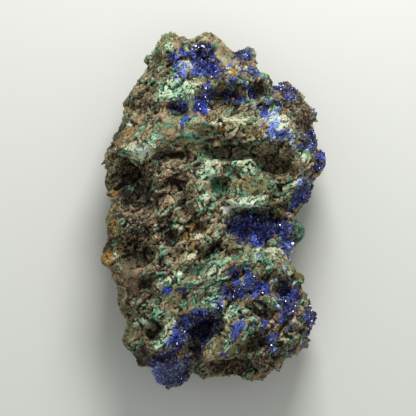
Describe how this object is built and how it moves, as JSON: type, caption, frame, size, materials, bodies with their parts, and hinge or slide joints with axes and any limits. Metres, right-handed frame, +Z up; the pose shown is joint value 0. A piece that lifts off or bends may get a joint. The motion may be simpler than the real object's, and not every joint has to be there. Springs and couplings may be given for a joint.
{
  "type": "azurite specimen",
  "caption": "Hand-sized lump of iron-stained matrix rock with malachite on it and crusts of dark blue azurite crystals in its hollows and along its edge, lying on its flat back",
  "frame": {"origin": "middle of the bounding box's footprint, on the surface that the specimen lies on", "axes": "+X across the specimen, +Y along it towards its narrower top, +Z up out of its best face, away from the flat of its back"},
  "size_m": [0.0602, 0.097, 0.0405],
  "materials": {
    "matrix_rock": "rough crumbly iron-stained rock with green malachite and ochre stains",
    "azurite": "dark blue crystal druse with small glossy flat faces"
  },
  "bodies": {
    "root": {"matrix_rock": "matrix_rock", "azurite_top_hollow": "azurite", "azurite_small_pit": "azurite", "azurite_upper_bowl": "azurite", "azurite_right_rim": "azurite", "azurite_right_ridge": "azurite", "azurite_middle_hollow": "azurite", "azurite_lower_band": "azurite", "azurite_right_cave": "azurite", "azurite_lower_hollow": "azurite", "azurite_lower_right": "azurite", "azurite_nose": "azurite"}
  },
  "joints": []
}
